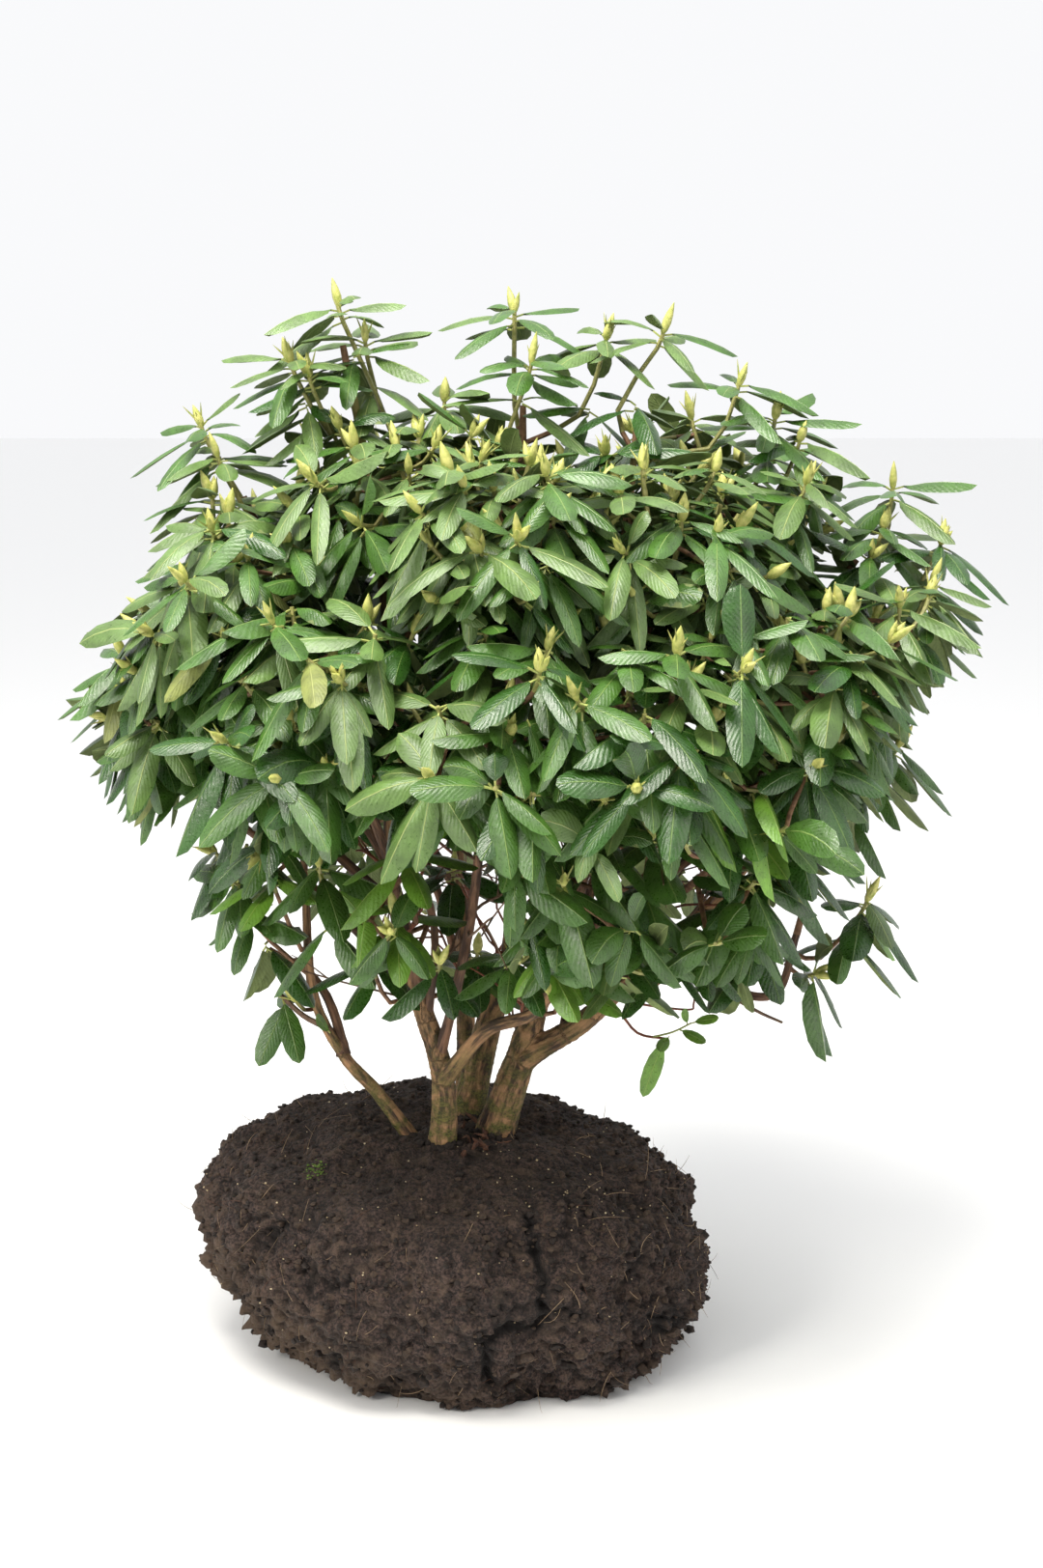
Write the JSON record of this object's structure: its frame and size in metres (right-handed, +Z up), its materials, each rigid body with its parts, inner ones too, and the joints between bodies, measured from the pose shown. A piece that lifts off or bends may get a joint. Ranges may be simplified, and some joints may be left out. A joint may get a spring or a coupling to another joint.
{
  "type": "rhododendron shrub on its root ball",
  "caption": "Large-leaved evergreen shrub in bud, with bare leaning stems under a broad domed crown, lifted from the field with its flattened ball of dark peaty soil.",
  "frame": {"origin": "centre of the root ball's flat underside, on the surface that it stands on", "axes": "+Z up; +X to the right and -Y towards the viewer, facing the plant's best side"},
  "size_m": [1.49, 1.2088, 1.7254],
  "materials": {
    "soil": "matte",
    "bark": "matte",
    "foliage": "satin"
  },
  "bodies": {
    "root": {"root_ball": "soil", "front_stem": "bark", "middle_stem": "bark", "right_stem": "bark", "left_stem": "bark", "back_stem": "bark", "right_limb": "bark", "front_limb": "bark", "spire_bough": "bark", "top_left_bough": "bark", "high_left_bough": "bark", "far_left_bough": "bark", "low_left_bough": "bark", "bottom_left_bough": "bark", "top_right_bough": "bark", "high_right_bough": "bark", "far_right_bough": "bark", "low_right_bough": "bark", "high_front_bough": "bark", "high_front_right_bough": "bark", "front_left_bough": "bark", "front_middle_bough": "bark", "front_right_bough": "bark", "front_far_right_bough": "bark", "low_front_left_bough": "bark", "low_front_right_bough": "bark", "back_left_bough": "bark", "back_right_bough": "bark", "low_back_left_bough": "bark", "low_back_right_bough": "bark", "front_stem_foliage": "foliage", "middle_stem_foliage": "foliage", "right_stem_foliage": "foliage", "left_stem_foliage": "foliage", "back_stem_foliage": "foliage", "right_limb_foliage": "foliage", "front_limb_foliage": "foliage", "spire_foliage": "foliage", "top_left_foliage": "foliage", "high_left_foliage": "foliage", "far_left_foliage": "foliage", "low_left_foliage": "foliage", "bottom_left_foliage": "foliage", "top_right_foliage": "foliage", "high_right_foliage": "foliage", "far_right_foliage": "foliage", "low_right_foliage": "foliage", "high_front_foliage": "foliage", "high_front_right_foliage": "foliage", "front_left_foliage": "foliage", "front_middle_foliage": "foliage", "front_right_foliage": "foliage", "front_far_right_foliage": "foliage", "low_front_left_foliage": "foliage", "low_front_right_foliage": "foliage", "back_left_foliage": "foliage", "back_right_foliage": "foliage", "low_back_left_foliage": "foliage", "low_back_right_foliage": "foliage"}
  },
  "joints": []
}
